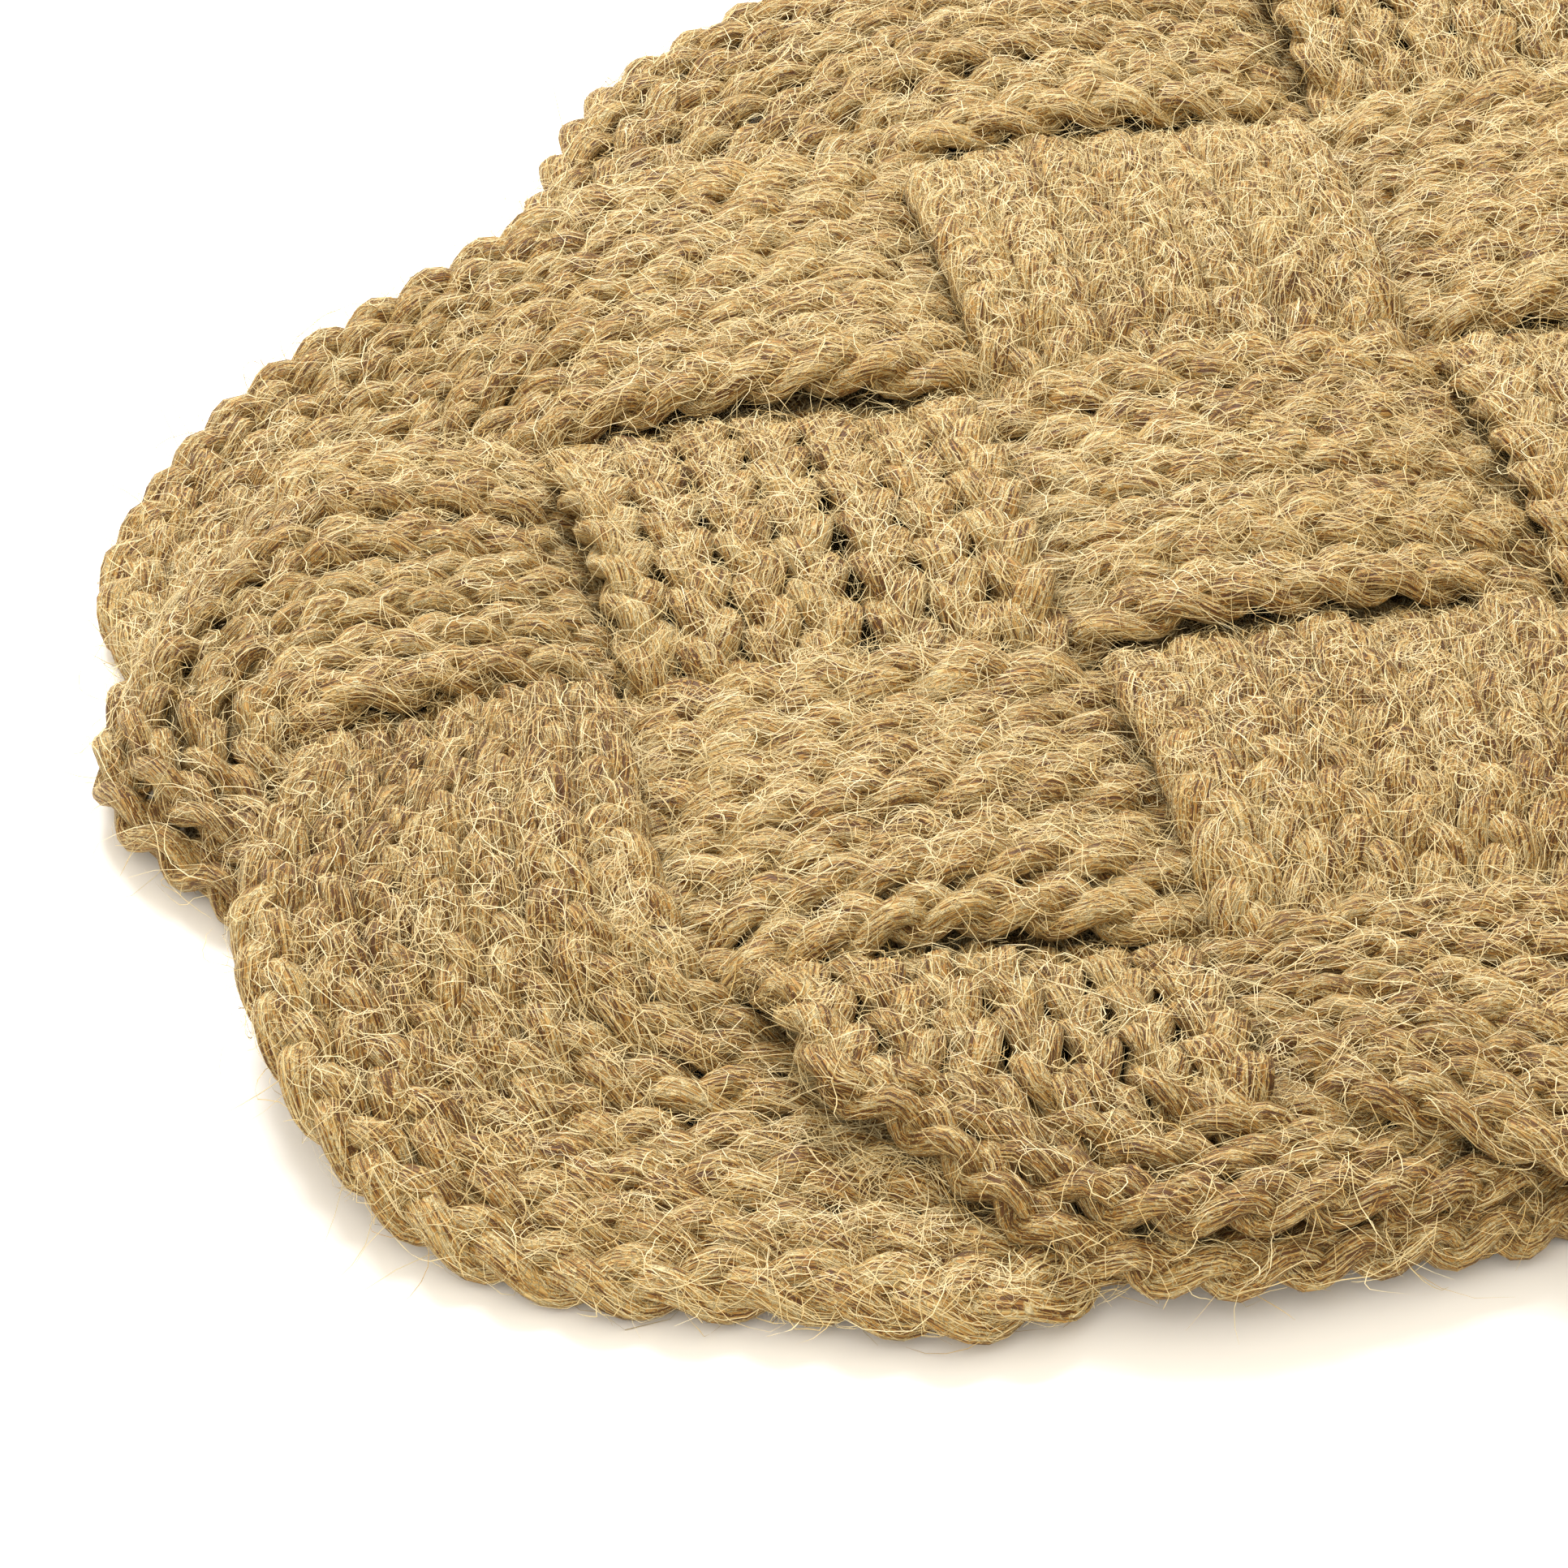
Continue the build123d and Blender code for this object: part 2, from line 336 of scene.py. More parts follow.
def cord_route(number):
    """The corners of one cord's route, starting where its ends meet, and its places at the lobe tips."""
    offset = (number - (CORDS + 1) / 2) * CORD_PITCH
    points, tips, start = [], [], 0
    for count, leg in enumerate(LEGS):
        way = heading(leg)
        left = (-way[1], way[0])
        spots = crossings(leg)
        levels = [level_at(spot, way) for spot in spots]
        for n, spot in enumerate(spots):
            if (count, spot) == END_PLACES[number - 1]:
                start = len(points)
            centre = shift(scaled(spot), (left, offset))
            points.append(place(centre, levels[n] * (1 + PILLOW)))
            if spot != leg[1]:
                between = (spot[0] + way[0] / 2, spot[1] + way[1] / 2)
                tip_way = TIPS.get(between)
                here = pinched(offset, way, tip_way) if tip_way else offset
                edge = shift(scaled(between), (left, here))
                points.append(place(shift(edge, (way, -RAMP_HALF)), levels[n] * SHOULDER))
                points.append(place(shift(edge, (way, RAMP_HALF)), levels[n + 1] * SHOULDER))

        following = LEGS[(count + 1) % len(LEGS)]
        next_way = heading(following)
        turn_levels = (levels[-1], level_at(following[0], next_way))
        sideways = (following[0][0] - leg[1][0], following[0][1] - leg[1][1])
        turns_left = way[0] * sideways[1] - way[1] * sideways[0] > 0
        outward = -offset if turns_left else offset
        if next_way == (-way[0], -way[1]):
            lobe = hairpin_points(leg[1], following[0], way, outward, turn_levels)
            tips.append(np.mean(lobe[1:3], axis=0))
        else:
            lobe = bight_points(leg[1], way, next_way, outward, turn_levels)
            tips.append(np.array(lobe[1]))
        points.extend(lobe)
    return np.array(points[start:] + points[:start]), tips


# ---------------------------------------------------------------- lines

def spline_points(corners):
    """Points of the smooth closed spline that has these control points."""
    curve = bpy.data.curves.new("route", "CURVE")
    curve.dimensions = "3D"
    curve.resolution_u = SPLINE_STEPS
    spline = curve.splines.new("NURBS")
    spline.points.add(len(corners) - 1)
    spline.points.foreach_set("co", np.c_[corners, np.ones(len(corners))].astype(np.float32).ravel())
    spline.use_cyclic_u = True
    spline.order_u = 3
    spline.resolution_u = SPLINE_STEPS
    route = bpy.data.objects.new("route", curve)
    mesh = bpy.data.meshes.new_from_object(route)
    points = np.zeros(len(mesh.vertices) * 3, np.float32)
    mesh.vertices.foreach_get("co", points)
    bpy.data.meshes.remove(mesh)
    bpy.data.objects.remove(route)
    bpy.data.curves.remove(curve)
    return points.reshape(-1, 3).astype(float)


def evenly(points, step):
    """Evenly spaced points round a closed line, about one step apart."""
    closed = np.vstack([points, points[:1]])
    along = np.r_[0, np.cumsum(np.linalg.norm(np.diff(closed, axis=0), axis=1))]
    count = int(along[-1] / step)
    at = np.arange(count) * along[-1] / count
    return np.stack([np.interp(at, along, closed[:, axis]) for axis in range(3)], axis=1)


def smoothed(values, width):
    """Values round a closed line, averaged with a bell curve that is width samples wide."""
    reach = int(4 * width)
    bell = np.exp(-0.5 * (np.arange(-reach, reach + 1) / width) ** 2)
    around = np.concatenate([values[-reach:], values, values[:reach]])
    return np.convolve(around, bell / bell.sum(), "valid")


def wander(count, length, size):
    """A slow random variation along a cord, of a given length of wave and standard size."""
    values = smoothed(rng.standard_normal(count), length / STEP)
    return values * size / values.std()


def unit(vectors):
    """The same vectors with length 1."""
    return vectors / np.maximum(np.linalg.norm(vectors, axis=-1, keepdims=True), 1e-12)


def settled(core):
    """A cord's line as it lies by hand: drawn in or out at some places, and pressed in tight lobes."""
    moved = core.copy()
    for spot, move, reach in PULLS:
        away = np.sum((core[:, :2] - spot) ** 2, axis=1) / reach**2
        moved[:, :2] += np.exp(-away / 2)[:, None] * move
    for spot, share, reach in PRESSED:
        away = np.sum((moved[:, :2] - spot) ** 2, axis=1) / reach**2
        moved[:, 2] += np.exp(-away / 2) * share * ((LOW + HIGH) / 2 - moved[:, 2])
    return moved


def loosened(core):
    """A cord's line with the small waves of a hand-made braid."""
    side = unit(np.cross((0, 0, 1), np.roll(core, -1, 0) - np.roll(core, 1, 0)))
    moved = core + side * wander(len(core), *SIDEWAYS_WAVE)[:, None]
    moved[:, 2] += wander(len(core), *UPWARD_WAVE)
    return moved


def squeezes(cores):
    """How wide each braid is, all along it, as a share of its usual width, from the room beside it."""
    ways = [unit(np.roll(core, -1, axis=0) - np.roll(core, 1, axis=0)) for core in cores]
    found = []
    for own, core in enumerate(cores):
        nearest = np.full(len(core), CORD_PITCH * LOOSEST)
        for other, line in enumerate(cores):
            if other == own:
                continue
            tree = KDTree(len(line))
            for n, point in enumerate(line):
                tree.insert(point, n)
            tree.balance()
            spots = [tree.find(point) for point in core]
            cosine = np.sum(ways[other][[spot[1] for spot in spots]] * ways[own], axis=1)
            beside = abs(cosine) > ALONGSIDE
            gaps = np.where(beside, [spot[2] for spot in spots], CORD_PITCH * LOOSEST)
            nearest = np.minimum(nearest, gaps)
        found.append(smoothed(np.clip(nearest / CORD_PITCH, TIGHTEST, LOOSEST), SQUEEZE_RUN / STEP))
    return found


# ---------------------------------------------------------------- meshes

def grid_faces(rows, columns):
    """The four-sided faces of a tube with that many rings of that many points."""
    a = np.arange(rows - 1)[:, None] * columns + np.arange(columns)
    b = np.arange(rows - 1)[:, None] * columns + np.roll(np.arange(columns), -1)
    return np.stack([a, b, b + columns, a + columns], axis=-1).reshape(-1, 4)


def new_piece(name, points, faces, material, fibre, tone, caps=()):
    """A smooth mesh piece from point and face arrays, riding on the mat."""
    points = points.reshape(-1, 3).copy()
    points[:, 2] = np.maximum(points[:, 2], FLOOR)
    corners = np.concatenate([faces.ravel(), *caps]).astype(np.int32)
    sizes = np.array([4] * len(faces) + [len(cap) for cap in caps])
    mesh = bpy.data.meshes.new(name)
    mesh.vertices.add(len(points))
    mesh.vertices.foreach_set("co", points.astype(np.float32).ravel())
    mesh.loops.add(len(corners))
    mesh.loops.foreach_set("vertex_index", corners)
    mesh.polygons.add(len(sizes))
    mesh.polygons.foreach_set("loop_start", (np.cumsum(sizes) - sizes).astype(np.int32))
    mesh.polygons.foreach_set("use_smooth", np.ones(len(sizes), bool))
    mesh.update(calc_edges=True)
    layer = mesh.attributes.new("fibre", "FLOAT_VECTOR", "POINT")
    layer.data.foreach_set("vector", fibre.astype(np.float32).ravel())
    layer = mesh.attributes.new("tone", "FLOAT", "POINT")
    layer.data.foreach_set("value", tone.astype(np.float32).ravel())
    mesh.materials.append(material)
    piece = bpy.data.objects.new(name, mesh)
    bpy.context.scene.collection.objects.link(piece)
    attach(piece, "root")
    return piece


def join(parts):
    """One set of point, face, fibre and tone arrays from several."""
    points, faces, fibre, tone, first = [], [], [], [], 0
    for part in parts:
        points.append(part[0].reshape(-1, 3))
        faces.append(part[1] + first)
        fibre.append(part[2].reshape(-1, 3))
        tone.append(part[3].ravel())
        first += len(points[-1])
    return [np.concatenate(arrays) for arrays in (points, faces, fibre, tone)]


def helix(line, radius, turn, phase, ply_radius, sides=6):
    """A tube wound round a line, as point, face, fibre and tone arrays."""
    run = np.r_[0, np.cumsum(np.linalg.norm(np.diff(line, axis=0), axis=1))]
    count = int(run[-1] / turn * TWINE_POINTS) + 2
    at = np.linspace(0, run[-1], count)
    middle = np.stack([np.interp(at, run, line[:, axis]) for axis in range(3)], axis=1)
    along = unit(np.gradient(middle, axis=0))
    side = unit(np.cross((0, 0, 1), along))
    angle = (2 * pi * at / turn + phase)[:, None]
    out = side * np.cos(angle) + np.cross(along, side) * np.sin(angle)
    centre = middle + out * radius
    way = unit(np.gradient(centre, axis=0))
    across = unit(out - way * np.sum(out * way, axis=1, keepdims=True))
    theta = 2 * pi * np.arange(sides) / sides
    cosine, sine = np.cos(theta)[:, None], np.sin(theta)[:, None]
    ring = across[:, None] * cosine + np.cross(way, across)[:, None] * sine
    length = np.r_[0, np.cumsum(np.linalg.norm(np.diff(centre, axis=0), axis=1))] * 1000
    swirl = theta + 2 * pi * length[:, None] / TWINE_TWIST
    grain = np.broadcast_to(length[:, None], swirl.shape)
    fibre = np.stack([np.cos(swirl), np.sin(swirl), grain], axis=-1)
    points, tone = centre[:, None] + ring * ply_radius, np.full(swirl.shape, TWINE_TONE)
    return points, grid_faces(count, sides), fibre, tone


# ---------------------------------------------------------------- materials

def colour(red, green, blue):
    """A linear colour from its everyday 0 to 255 values."""
    parts = [value / 255 for value in (red, green, blue)]
    return tuple(v / 12.92 if v < 0.04045 else ((v + 0.055) / 1.055) ** 2.4 for v in parts) + (1.0,)


STRAW = colour(216, 199, 154)
GOLD = colour(197, 169, 108)
TAN = colour(160, 114, 44)
# The darkest stop is mostly painted shade in the gaps between fibres, and partly the dark fibre itself
BARK_AND_GAP_SHADE = colour(82, 46, 5)


def shader(material, roughness, sheen):
    """The material's main shader, with the values that are the same all over it."""
    material.use_nodes = True
    main = material.node_tree.nodes["Principled BSDF"]
    main.inputs["Roughness"].default_value = roughness
    main.inputs["Specular IOR Level"].default_value = 0.35
    main.inputs["Sheen Weight"].default_value = sheen
    main.inputs["Sheen Roughness"].default_value = 0.45
    main.inputs["Sheen Tint"].default_value = STRAW
    return main


def attribute(nodes, name):
    """A node that reads a named attribute of the mesh."""
    node = nodes.new("ShaderNodeAttribute")
    node.attribute_name = name
    return node


def weighted(tree, offset, *terms):
    """A socket with the sum of an offset and of (socket, weight) terms."""
    total = None
    for socket, weight in terms:
        node = tree.nodes.new("ShaderNodeMath")
        node.operation = "MULTIPLY_ADD"
        node.inputs[1].default_value = weight
        node.inputs[2].default_value = offset
        tree.links.new(socket, node.inputs[0])
        if total:
            tree.links.new(total, node.inputs[2])
        total = node.outputs[0]
    return total


def shades(tree, value, stops):
    """A socket with the colour at a value between (place, colour) stops."""
    node = tree.nodes.new("ShaderNodeValToRGB")
    while len(node.color_ramp.elements) < len(stops):
        node.color_ramp.elements.new(0.5)
    for element, (at, shade) in zip(node.color_ramp.elements, stops):
        element.position = at
        element.color = shade
    tree.links.new(value, node.inputs["Fac"])
    return node.outputs["Color"]


def streaks(tree, across, along, tilt=0.0, detail=2.0):
    """A socket with noise of that grain in mm, drawn out along the fibres or at a tilt to them."""
    turn = tree.nodes.new("ShaderNodeMapping")
    turn.vector_type = "TEXTURE"
    turn.inputs["Rotation"].default_value = (tilt, tilt * 0.7, 0)
    turn.inputs["Scale"].default_value = (across, across, along)
    noise = tree.nodes.new("ShaderNodeTexNoise")
    noise.inputs["Scale"].default_value = 1.0
    noise.inputs["Detail"].default_value = detail
    noise.inputs["Roughness"].default_value = 0.6
    tree.links.new(attribute(tree.nodes, "fibre").outputs["Vector"], turn.inputs["Vector"])
    tree.links.new(turn.outputs["Vector"], noise.inputs["Vector"])
    return noise.outputs["Fac"]


def hairlines(tree, across, along, tilt, fineness):
    """A socket that is 1 on thin curly lines and 0 between them."""
    centred = tree.nodes.new("ShaderNodeMath")
    centred.operation = "SUBTRACT"
    centred.inputs[1].default_value = 0.5
    tree.links.new(streaks(tree, across, along, tilt, 1.0), centred.inputs[0])
    distance = tree.nodes.new("ShaderNodeMath")
    distance.operation = "ABSOLUTE"
    tree.links.new(centred.outputs[0], distance.inputs[0])
    line = tree.nodes.new("ShaderNodeMath")
    line.operation = "MULTIPLY_ADD"
    line.use_clamp = True
    line.inputs[1].default_value = -fineness
    line.inputs[2].default_value = 1.0
    tree.links.new(distance.outputs[0], line.inputs[0])
    return line.outputs[0]


def strand_material(name, stops, depth):
    """Combed fibre: parallel filaments and curly hairs, with painted shade in the dark gaps between them,
    and drifting tones.
    """
    material = bpy.data.materials.new(name)
    main = shader(material, 0.6, 0.12)
    tree = material.node_tree
    grooves = streaks(tree, 0.45, 7.0)
    clumps = streaks(tree, 2.4, 16.0)
    filaments = hairlines(tree, 1.0, 9.0, 0.1, 22)
    curls = hairlines(tree, 1.3, 3.5, 0.6, 24)
    tangle = hairlines(tree, 1.5, 2.2, -0.8, 26)
    drift = tree.nodes.new("ShaderNodeTexNoise")
    drift.inputs["Scale"].default_value = 9.0
    drift.inputs["Detail"].default_value = 2.0
    where = tree.nodes.new("ShaderNodeTexCoord")
    tree.links.new(where.outputs["Object"], drift.inputs["Vector"])
    tone = attribute(tree.nodes, "tone").outputs["Fac"]
    lines = [(filaments, 0.5), (curls, 0.5), (tangle, 0.45)]
    slow = [(clumps, 0.6), (drift.outputs["Fac"], 0.4), (tone, 0.08)]
    # The colour follows the bump: it is darker where the grooves, clumps and lines lie low, which is
    # painted shade in the gaps between fibres, over the fibres' own drifting tones
    tone_and_gap_shade = weighted(tree, -1.65, (grooves, 2.6), *slow, *lines)
    tree.links.new(shades(tree, tone_and_gap_shade, stops), main.inputs["Base Color"])
    bump = tree.nodes.new("ShaderNodeBump")
    bump.inputs["Strength"].default_value = 1.0
    bump.inputs["Distance"].default_value = depth
    height = weighted(tree, 0.0, (grooves, 1.0), (clumps, 0.8), *lines)
    tree.links.new(height, bump.inputs["Height"])
    tree.links.new(bump.outputs["Normal"], main.inputs["Normal"])
    return material


def hair_material():
    """Loose single fibres, each with its own tone from brown to pale straw."""
    material = bpy.data.materials.new("natural_fibre_hair")
    main = shader(material, 0.45, 0.1)
    tree = material.node_tree
    tone = attribute(tree.nodes, "tone").outputs["Fac"]
    value = weighted(tree, -0.25, (tone, 1.0), (streaks(tree, 1.0, 3.0), 0.6))
    stops = [(0.0, TAN), (0.35, GOLD), (0.9, STRAW)]
    tree.links.new(shades(tree, value, stops), main.inputs["Base Color"])
    return material


STRAND_STOPS = [(0.0, BARK_AND_GAP_SHADE), (0.22, TAN), (0.54, GOLD), (1.0, STRAW)]
STRAND = strand_material("natural_fibre_strand", STRAND_STOPS, 0.0007)
TWINE = strand_material("natural_fibre_twine", [(0.0, BARK_AND_GAP_SHADE), (0.5, TAN), (1.0, GOLD)], 0.0003)
HUSK = strand_material("husk_fleck", [(0.0, colour(52, 30, 12)), (1.0, colour(104, 66, 32))], 0.0003)
HAIR = hair_material()


# ---------------------------------------------------------------- the camera

back = Vector((
    sin(radians(AZIMUTH)) * cos(radians(ELEVATION)),
    -cos(radians(AZIMUTH)) * cos(radians(ELEVATION)),
    sin(radians(ELEVATION)),
))
level = Vector((cos(radians(AZIMUTH)), sin(radians(AZIMUTH)), 0))
turned = Matrix.Rotation(-radians(ROLL), 3, -back)
right = turned @ level
upward = back.cross(right)
camera = bpy.data.objects.new("camera", bpy.data.cameras.new("camera"))
bpy.context.scene.collection.objects.link(camera)
bpy.context.scene.camera = camera
camera.data.lens = LENS
camera.data.sensor_width = 36
camera.data.clip_end = 50
camera.matrix_world = Matrix((right, upward, back)).transposed().to_4x4()
camera.location = Vector(TARGET) + back * DISTANCE


# ---------------------------------------------------------------- the braids

class Braid:
    """One cord: its line, and the centres and frames of its three strands, all along it."""

    def __init__(self, core, squeeze, outermost):
        count = len(core)
        self.reach = OUTER_REACH if outermost else SIDE_REACH
        self.run = np.arange(count) * STEP
        self.core = core
        ahead = unit(np.roll(core, -1, 0) - np.roll(core, 1, 0))
        side = unit(np.cross((0, 0, 1), ahead))
        roll = wander(count, *ROLL_WAVE)[:, None]
        over = np.cross(ahead, side)
        side, over = side * np.cos(roll) + over * np.sin(roll), over * np.cos(roll) - side * np.sin(roll)
        self.side, self.over = side, over
        to_end = np.minimum(self.run, self.run[-1] - self.run)
        waist = 1 - WAIST_DEPTH * np.exp(-((to_end / END_WAIST) ** 2))
        self.narrow = squeeze * (1 + waist) / 2 * (1 + wander(count, *WIDTH_WAVE))
        self.squeeze = squeeze
        self.lift = LIFT * (1 + PRESSED_LIFT * (1 - squeeze)) * waist
        self.shade = wander(count, *SHADE_WAVE) + rng.normal(0, SHADE_SPREAD)
        phase = 2 * pi * self.run / BRAID_PERIOD + wander(count, *PHASE_WAVE)
        self.phases = np.stack([phase + 2 * pi * strand / 3 for strand in range(3)])
        self.centres, self.across, self.outward = [], [], []
        for turn in self.phases:
            swing = (SWING * squeeze * waist * np.sin(turn))[:, None]
            lift = (self.lift * np.sin(2 * turn))[:, None]
            centre = self.core + side * swing + over * lift
            along = unit(np.gradient(centre, axis=0))
            across = unit(side - along * np.sum(side * along, axis=1, keepdims=True))
            self.centres.append(centre)
            self.across.append(across)
            self.outward.append(np.cross(along, across))
        self.centres, self.across, self.outward = map(np.array, (self.centres, self.across, self.outward))

    def rings(self, run):
        """The ring before each place along the braid, and how much of the step to the next is done."""
        at = np.clip(run / STEP, 0, len(self.run) - 1.001)
        low = at.astype(int)
        return low, (at - low)[..., None]

    def surface(self, strand, run, theta, lift):
        """Points on strands' surfaces, or that far above them, and their outward directions."""
        low, part = self.rings(run)

        def between(values):
            return values[strand, low] * (1 - part) + values[strand, low + 1] * part

        narrow = self.narrow[low][..., None]
        across, outward = between(self.across), between(self.outward)
        cosine, sine = np.cos(theta)[..., None], np.sin(theta)[..., None]
        reach = across * cosine * STRAND_WIDTH * narrow + outward * sine * STRAND_DEPTH
        way = unit(across * cosine * STRAND_DEPTH + outward * sine * STRAND_WIDTH)
        return between(self.centres) + reach + way * lift[..., None], way

    def roomy(self, run):
        """A random choice among places along the braid, with fewer where it is pressed narrow."""
        return rng.random(len(run)) < (self.squeeze[(run / STEP).astype(int)] / LOOSEST) ** 2

    def places(self, count):
        """Random (strand, run, angle) places on the braid, mostly where it can be seen."""
        many = count * 4
        strand = rng.integers(3, size=many)
        run = rng.uniform(HAIR_MARGINS[0], self.run[-1] - HAIR_MARGINS[1], many)
        theta = rng.uniform(-pi, pi, many)
        # A place can be seen where its strand is up, or where it is on its strand's upper side
        turn = self.phases[strand, (run / STEP).astype(int)]
        shown = np.sin(2 * turn) * 0.6 + np.sin(theta) > 0.1
        shown |= rng.random(many) < HIDDEN_SHARE
        kept = np.flatnonzero(shown & self.roomy(run))[:count]
        return strand[kept], run[kept], theta[kept]


def strand_mesh(braid, strand):
    """The point, face, fibre and tone arrays of one strand, and its two end caps."""
    count = len(braid.run)
    theta = 2 * pi * np.arange(RING_POINTS)[None] / RING_POINTS
    turned = (2 * pi * braid.run / FIBRE_TURN + wander(count, *TWIST_WAVE))[:, None]
    lobes = np.zeros((count, RING_POINTS))
    for lobe_count, depth, wave in STRAND_LOBES:
        lobes += depth * np.cos(lobe_count * (theta - turned) + wander(count, *wave)[:, None])
    size = (1 + lobes) * (1 + wander(count, *WIDTH_WAVE))[:, None]
    half_width = np.cos(theta) * STRAND_WIDTH * size * braid.narrow[:, None]
    half_depth = np.sin(theta) * STRAND_DEPTH * size
    across = braid.across[strand][:, None] * half_width[..., None]
    outward = braid.outward[strand][:, None] * half_depth[..., None]
    points = braid.centres[strand][:, None] + across + outward
    swirl = theta - turned + wander(count, *SWIRL_WAVE)[:, None]
    run = np.broadcast_to(braid.run[:, None] * 1000 + rng.uniform(0, STRAND_GRAIN), swirl.shape)
    fibre = np.stack([np.cos(swirl) * FIBRE_RADIUS, np.sin(swirl) * FIBRE_RADIUS, run], axis=-1)
    tone = np.broadcast_to((braid.shade + wander(count, *TONE_WAVE))[:, None], swirl.shape)
    last = (count - 1) * RING_POINTS
    caps = [np.arange(RING_POINTS)[::-1], last + np.arange(RING_POINTS)]
    return points, grid_faces(count, RING_POINTS), fibre, tone, caps


def hair_arrays(points, faces, tone):
    """The point, face, fibre and tone arrays of hairs, from rings of points for each hair."""
    points = np.clip(points, cad_box[0] - HAIR_REACH, cad_box[1] + HAIR_REACH)
    count, rows, columns = points.shape[:3]
    faces = (faces[None] + (np.arange(count) * rows * columns)[:, None, None]).reshape(-1, 4)
    start = rng.uniform(0, HAIR_GRAIN, count)[:, None, None]
    run = np.broadcast_to(np.linspace(0, GRAIN_LENGTH, rows)[None, :, None] + start, points.shape[:3])
    fibre = np.stack([np.zeros_like(run), np.zeros_like(run), run], axis=-1)
    return points, faces, fibre, np.broadcast_to(tone[:, None, None], run.shape)


def flat_hairs(paths, ways, radius, tone):
    """Flat fibres along paths, which face the given ways."""
    count, rows = paths.shape[:2]
    across = unit(np.cross(np.gradient(paths, axis=1), ways))
    across *= (radius[:, None] * np.interp(np.linspace(0, 1, rows), *TAPER))[..., None]
    points = np.stack([paths - across, paths + across], axis=2)
    start = np.arange(rows - 1)[:, None] * 2
    return hair_arrays(points, start + np.array([0, 1, 3, 2]), tone)


def round_hairs(paths, radius, tone):
    """Thin three-sided hairs along paths."""
    count, rows = paths.shape[:2]
    along = unit(np.gradient(paths, axis=1))
    across = unit(np.cross(along, rng.standard_normal((count, 1, 3))))
    outward = np.cross(along, across)
    theta = 2 * pi * np.arange(3)[:, None] / 3
    ring = across[:, :, None] * np.cos(theta) + outward[:, :, None] * np.sin(theta)
    size = radius[:, None] * np.interp(np.linspace(0, 1, rows), *TAPER)
    return hair_arrays(paths[:, :, None] + ring * size[:, :, None, None], grid_faces(rows, 3), tone)


def lying_hairs(braid):
    """Fibres that lie along the strands and bow up from them a little."""
    strand, run, theta = braid.places(LYING_HAIRS)
    count = len(strand)
    rows = np.linspace(0, 1, LYING_ROWS)[None]
    length = rng.uniform(*LYING_LENGTHS, count)[:, None]
    runs = run[:, None] + rows * length
    slope = rng.normal(0, LYING_SLOPE, count)[:, None] + 2 * pi / FIBRE_TURN
    swing = rng.normal(0, LYING_WAVE, count)[:, None]
    wave = swing * np.sin(2 * pi * rows * rng.uniform(*LYING_WAVES, (count, 1)))
    thetas = theta[:, None] + slope * rows * length + wave
    bow = rng.gamma(*LYING_BOW, count)[:, None] * np.sin(pi * rows)
    paths, ways = braid.surface(strand[:, None], runs, thetas, LYING_LIFT + bow)
    radius = rng.uniform(*HAIR_RADII, count)
    return flat_hairs(paths, ways, radius, rng.beta(*HAIR_TONES, count))


def relief(braid, index, aside):
    """Height of the uppermost strand over a braid's middle line, at places aside from that line."""
    turn = braid.phases[:, index]
    gap = (aside / braid.squeeze[index] - SWING * np.sin(turn)) / STRAND_WIDTH
    rise = braid.lift[index] * np.sin(2 * turn) + STRAND_DEPTH * np.sqrt(np.clip(1 - gap**2, 0, None))
    return np.where(abs(gap) < 1, rise, -np.inf).max(axis=0)


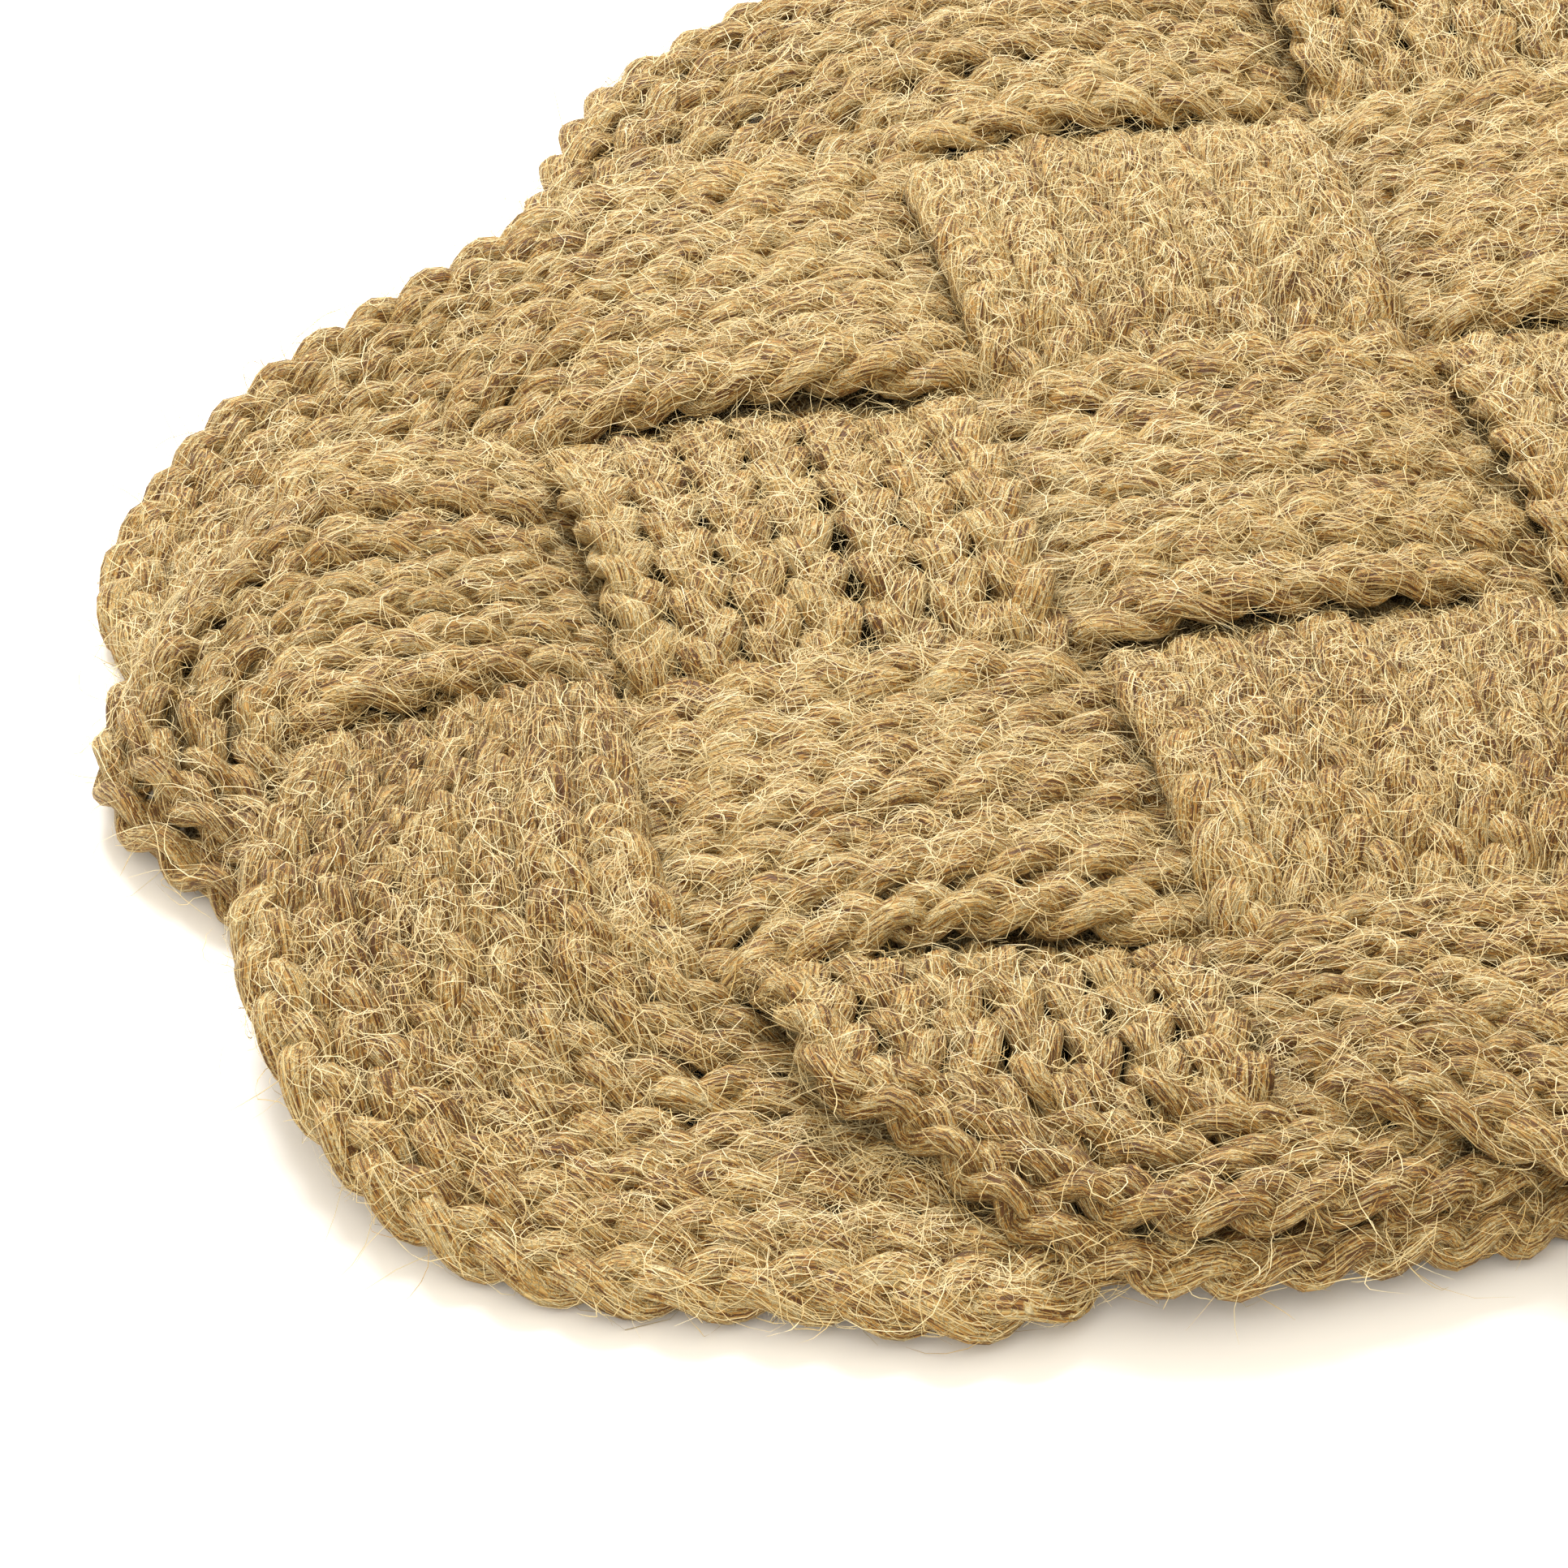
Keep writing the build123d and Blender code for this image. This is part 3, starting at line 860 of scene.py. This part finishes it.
def curly_hairs(braid):
    """Fibres that wander and curl over the braid, across to its neighbours or round its sides."""
    count = CURLY_HAIRS
    bridging = np.arange(count) % BRIDGE_EVERY == 0
    course = rng.normal(0, CURLY_COURSE, count) + rng.choice([0, pi], count)
    curl = rng.normal(0, CURL, count)
    step = rng.gamma(*CURLY_LENGTH, count).clip(*CURLY_LENGTHS) / (CURLY_ROWS - 1)
    run = rng.uniform(CURLY_MARGIN, braid.run[-1] - CURLY_MARGIN, count * 4)
    run = [run[braid.roomy(run)][:count]]
    aside = [rng.uniform(-1, 1, count) * np.where(bridging, BRIDGE_REACH, braid.reach) * CORD_PITCH]
    for _ in range(CURLY_ROWS - 1):
        run.append(run[-1] + np.cos(course) * step)
        aside.append(aside[-1] + np.sin(course) * step)
        course = course + curl * step + rng.normal(0, CURLY_JITTER, count)
    run, aside = np.stack(run, axis=1), np.stack(aside, axis=1)
    low, part = braid.rings(run)
    lines = (braid.core, braid.side, braid.over)
    core, side, over = (values[low] * (1 - part) + values[low + 1] * part for values in lines)
    over = over * rng.choice([1, -1], count, p=[1 - CURLY_BELOW, CURLY_BELOW])[:, None, None]

    # A bridging fibre follows the strands and the valleys between braids
    between = abs((aside / (CORD_PITCH * braid.squeeze[low]) + 0.5) % 1 - 0.5) * 2
    ridge = BRAID_TOP - VALLEY * between**3
    top = np.maximum(relief(braid, low, aside), ridge - DEEPEST)
    top[:, 1:-1] = np.maximum(top[:, 1:-1], (top[:, :-2] + top[:, 2:]) / 2)
    across_braids = np.stack([aside, top], axis=-1)

    # Any other one goes over the braid's flat top and round its sides
    angle = ((abs(aside) - FLAT_HALF) / SIDE_ARC).clip(0)
    beside = np.sign(aside) * (abs(aside).clip(0, FLAT_HALF) + SIDE_RADIUS * np.sin(angle))
    round_sides = np.stack([beside, BRAID_TOP * np.cos(angle)], axis=-1)

    section = np.where(bridging[:, None, None], across_braids, round_sides)
    across = np.where(bridging[:, None], 0, np.sin(angle) * np.sign(aside))[..., None]
    way = unit(side * across + over * np.sqrt(np.clip(1 - across**2, 0.02, 1)))
    lift = rng.gamma(*CURLY_BOW, count)[:, None] * np.sin(pi * np.linspace(0, 1, CURLY_ROWS))
    lift += rng.normal(*CURLY_LIFT, run.shape)
    paths = core + side * section[..., :1] + over * section[..., 1:] + way * lift[..., None]
    radius = rng.uniform(*HAIR_RADII, count)
    facing = way + rng.normal(0, FACING_SPREAD, way.shape)
    return flat_hairs(paths, facing, radius, rng.beta(*HAIR_TONES, count))


def stray_hairs(braid):
    """Curly fibres that stand off from the braid in every direction."""
    strand, run, theta = braid.places(STRAY_HAIRS)
    count = len(strand)
    start, out = braid.surface(strand, run, theta, np.full(count, STRAY_ROOT))
    low = (run / STEP).astype(int)
    along = unit(braid.centres[strand, low + 1] - braid.centres[strand, low])
    along *= rng.choice([-1, 1], (count, 1))
    rise = out * rng.uniform(*STRAY_RISE, (count, 1))
    way = unit(along + rise + rng.normal(0, STRAY_SPREAD, (count, 3)))
    curl = unit(np.cross(way, rng.standard_normal((count, 3)))) * rng.uniform(*STRAY_CURL, (count, 1))
    step = rng.gamma(*STRAY_LENGTH, count)[:, None].clip(*STRAY_LENGTHS) / (STRAY_ROWS - 1)
    paths = [start]
    for _ in range(STRAY_ROWS - 1):
        paths.append(paths[-1] + way * step)
        way = unit(way + curl)
        way[:, 2] = way[:, 2] * STRAY_DAMPING - STRAY_FALL
        way = unit(way)
    paths = np.stack(paths, axis=1)
    paths[..., 2] = paths[..., 2].clip(FLOOR, cad_box[1].z + STRAY_TOP)
    radius = rng.uniform(*STRAY_RADII, count)
    return round_hairs(paths, radius, rng.beta(*STRAY_TONES, count))


def husk_flecks(braid):
    """Bits of brown husk caught on the strands."""
    strand, run, theta = (values[:, None, None] for values in braid.places(HUSK_FLECKS))
    rows, columns = np.linspace(0, 1, FLECK_ROWS)[:, None], np.linspace(-1, 1, FLECK_COLUMNS)
    length = rng.uniform(*FLECK_LENGTHS, strand.shape)
    width = rng.uniform(*FLECK_WIDTHS, strand.shape) * np.sin(pi * (0.06 + 0.88 * rows)) ** 0.7
    thetas = theta + columns * width + rows * rng.normal(0, FLECK_SKEW, strand.shape)
    runs = np.broadcast_to(run + rows * length, thetas.shape)
    lift = np.broadcast_to(FLECK_LIFT + FLECK_CURL * columns**2, thetas.shape)
    points = braid.surface(strand, runs, thetas, lift)[0]
    first = np.arange(FLECK_ROWS - 1)[:, None] * FLECK_COLUMNS + np.arange(FLECK_COLUMNS - 1)
    faces = first.reshape(-1, 1) + np.array([0, 1, FLECK_COLUMNS + 1, FLECK_COLUMNS])
    return hair_arrays(points, faces, np.zeros(len(points)))


routes, tips = zip(*[cord_route(number) for number in range(1, CORDS + 1)])
cores = []
for corners in routes:
    core = loosened(settled(evenly(spline_points(corners), STEP)))
    first = np.argmin(np.linalg.norm(core - corners[0], axis=1))
    cores.append(np.roll(core, -first, axis=0))
braids = [
    Braid(core, squeeze, number in (1, CORDS))
    for number, core, squeeze in zip(range(1, CORDS + 1), cores, squeezes(cores))
]

for number, braid in enumerate(braids, start=1):
    node = f"braided_cord_{number}"
    for strand, letter in enumerate("ABC"):
        points, faces, fibre, tone, caps = strand_mesh(braid, strand)
        piece = new_piece(f"{node}_strand_{letter}", points, faces, STRAND, fibre, tone, caps)
        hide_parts(node)
    for name, maker in (("lying", lying_hairs), ("curly", curly_hairs), ("stray", stray_hairs)):
        points, faces, fibre, tone = maker(braid)
        piece = new_piece(f"{node}_{name}_hairs", points, faces, HAIR, fibre, tone)
        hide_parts(node)

    node = f"end_binding_{number}"
    reach = int(BINDING_LENGTH / 2 / STEP)
    line = np.concatenate([braid.core[-reach:], braid.core[:reach]])
    twine = helix(line, BINDING_RADIUS, BINDING_LENGTH / BINDING_TURNS, 0, TWINE_RADIUS)
    piece = new_piece(f"{node}_twine", twine[0], twine[1], TWINE, twine[2], twine[3])
    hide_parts(node)

points, faces, fibre, tone = join([husk_flecks(braid) for braid in braids])
new_piece("husk_flecks", points, faces, HUSK, fibre, tone)

for lobe in range(len(LEGS)):
    node = f"lobe_stitch_{lobe + 1:02d}"
    line = []
    for braid, spots in zip(braids, tips):
        line.append(braid.core[np.argmin(np.linalg.norm(braid.core - spots[lobe], axis=1))])
    plies = [helix(np.array(line), STITCH_PLY, STITCH_TURN, phase, STITCH_PLY) for phase in (0, pi)]
    points, faces, fibre, tone = join(plies)
    piece = new_piece(f"{node}_twine", points, faces, TWINE, fibre, tone)
    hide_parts(node)


# ---------------------------------------------------------------- floor and light

def area_light(name, place_at, aim, size, power):
    """A soft square light at a place, aimed at another."""
    lamp = bpy.data.objects.new(name, bpy.data.lights.new(name, "AREA"))
    lamp.data.size = size
    lamp.data.energy = power
    lamp.location = place_at
    lamp.rotation_mode = "QUATERNION"
    lamp.rotation_quaternion = (Vector(aim) - Vector(place_at)).to_track_quat("-Z", "Y")
    bpy.context.scene.collection.objects.link(lamp)


floor_mesh = bpy.data.meshes.new("floor")
floor_corners = [(x * FLOOR_HALF, y * FLOOR_HALF, 0) for x, y in ((-1, -1), (1, -1), (1, 1), (-1, 1))]
floor_mesh.from_pydata(floor_corners, [], [(0, 1, 2, 3)])
floor = bpy.data.objects.new("floor", floor_mesh)
bpy.context.scene.collection.objects.link(floor)
paper = bpy.data.materials.new("floor")
paper.use_nodes = True
paper.node_tree.nodes["Principled BSDF"].inputs["Base Color"].default_value = (0.97, 0.97, 0.97, 1)
paper.node_tree.nodes["Principled BSDF"].inputs["Roughness"].default_value = 0.9
floor_mesh.materials.append(paper)

area_light("key", (0.9, 1.2, 1.7), (0, 0, 0), 1.0, 72)
area_light("fill", (-1.8, -0.6, 1.6), (0, 0, 0), 2.0, 18)
world = bpy.data.worlds.new("studio")
bpy.context.scene.world = world
world.use_nodes = True
world.node_tree.nodes["Background"].inputs["Color"].default_value = (1, 0.91, 0.75, 1)
world.node_tree.nodes["Background"].inputs["Strength"].default_value = 1.09
bpy.context.scene.view_settings.view_transform = "Standard"
